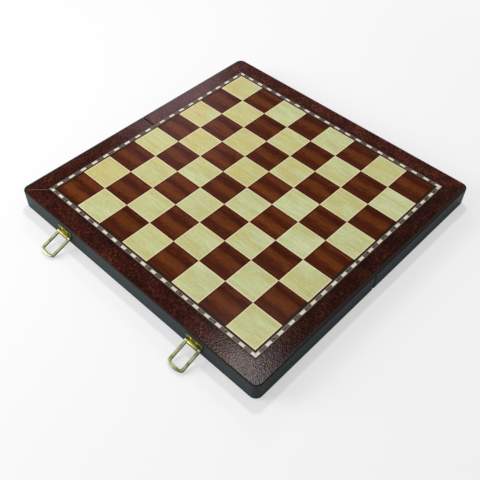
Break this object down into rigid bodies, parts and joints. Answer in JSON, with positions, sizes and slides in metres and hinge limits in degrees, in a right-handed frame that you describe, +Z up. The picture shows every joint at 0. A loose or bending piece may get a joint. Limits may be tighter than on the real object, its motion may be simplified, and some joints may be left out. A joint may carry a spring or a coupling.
{
  "type": "folding chess board case",
  "caption": "Folding wooden chess board that closes into a shallow case, with inlaid veneer squares, brass hinges under the fold and loop latches on the front edge.",
  "frame": {"origin": "middle of the fold, in the plane of the rims that the open board rests on", "axes": "+X along the fold to the right, -Y towards the front edge with the latch loops, +Z up through the playing side"},
  "size_m": [0.38, 0.4144, 0.0266],
  "materials": {
    "black_lacquer": "satin black lacquer over solid wood",
    "plywood": "raw plywood",
    "felt": "short green felt",
    "dark_veneer": "satin lacquered mahogany",
    "light_veneer": "satin lacquered maple",
    "border_veneer": "lacquered speckled mahogany",
    "black_stringing": "dyed veneer",
    "cream_stringing": "lacquered veneer",
    "light_inlay": "lacquered holly",
    "dark_inlay": "lacquered rosewood",
    "brass": "polished brass plate",
    "hinge_steel": "bright wire"
  },
  "bodies": {
    "front_half": {"front_outer_rail": "black_lacquer", "front_left_rail": "black_lacquer", "front_right_rail": "black_lacquer", "front_hinge_rail": "black_lacquer", "front_panel": "plywood", "front_felt_lining": "felt", "front_dark_squares": "dark_veneer", "front_light_squares": "light_veneer", "front_outer_border": "border_veneer", "front_left_border": "border_veneer", "front_right_border": "border_veneer", "front_black_lines": "black_stringing", "front_cream_lines": "cream_stringing", "front_light_inlay_blocks": "light_inlay", "front_dark_inlay_blocks": "dark_inlay", "front_hinge_screws": "brass", "left_hinge_front_leaf": "brass", "left_hinge_pin": "hinge_steel", "left_latch_plate": "brass", "right_hinge_front_leaf": "brass", "right_hinge_pin": "hinge_steel", "right_latch_plate": "brass", "latch_plate_screws": "brass"},
    "back_half": {"back_outer_rail": "black_lacquer", "back_left_rail": "black_lacquer", "back_right_rail": "black_lacquer", "back_hinge_rail": "black_lacquer", "back_panel": "plywood", "back_felt_lining": "felt", "back_dark_squares": "dark_veneer", "back_light_squares": "light_veneer", "back_outer_border": "border_veneer", "back_left_border": "border_veneer", "back_right_border": "border_veneer", "back_black_lines": "black_stringing", "back_cream_lines": "cream_stringing", "back_light_inlay_blocks": "light_inlay", "back_dark_inlay_blocks": "dark_inlay", "back_hinge_screws": "brass", "left_hinge_back_leaf": "brass", "left_catch_plate": "brass", "right_hinge_back_leaf": "brass", "right_catch_plate": "brass", "catch_plate_screws": "brass"},
    "left_loop": {"left_latch_loop": "brass"},
    "right_loop": {"right_latch_loop": "brass"}
  },
  "joints": [
    {"name": "fold", "type": "hinge", "parent": "front_half", "child": "back_half", "pos_m": [0, 0, -0.00015], "axis": [-1, 0, 0], "range_deg": [0, 180]},
    {"name": "left_loop_swing", "type": "hinge", "parent": "front_half", "child": "left_loop", "pos_m": [-0.106, -0.19145, 0.011], "axis": [1, 0, 0], "range_deg": [-109.2, 70.7]},
    {"name": "right_loop_swing", "type": "hinge", "parent": "front_half", "child": "right_loop", "pos_m": [0.106, -0.19145, 0.011], "axis": [1, 0, 0], "range_deg": [-109.2, 70.7]}
  ]
}
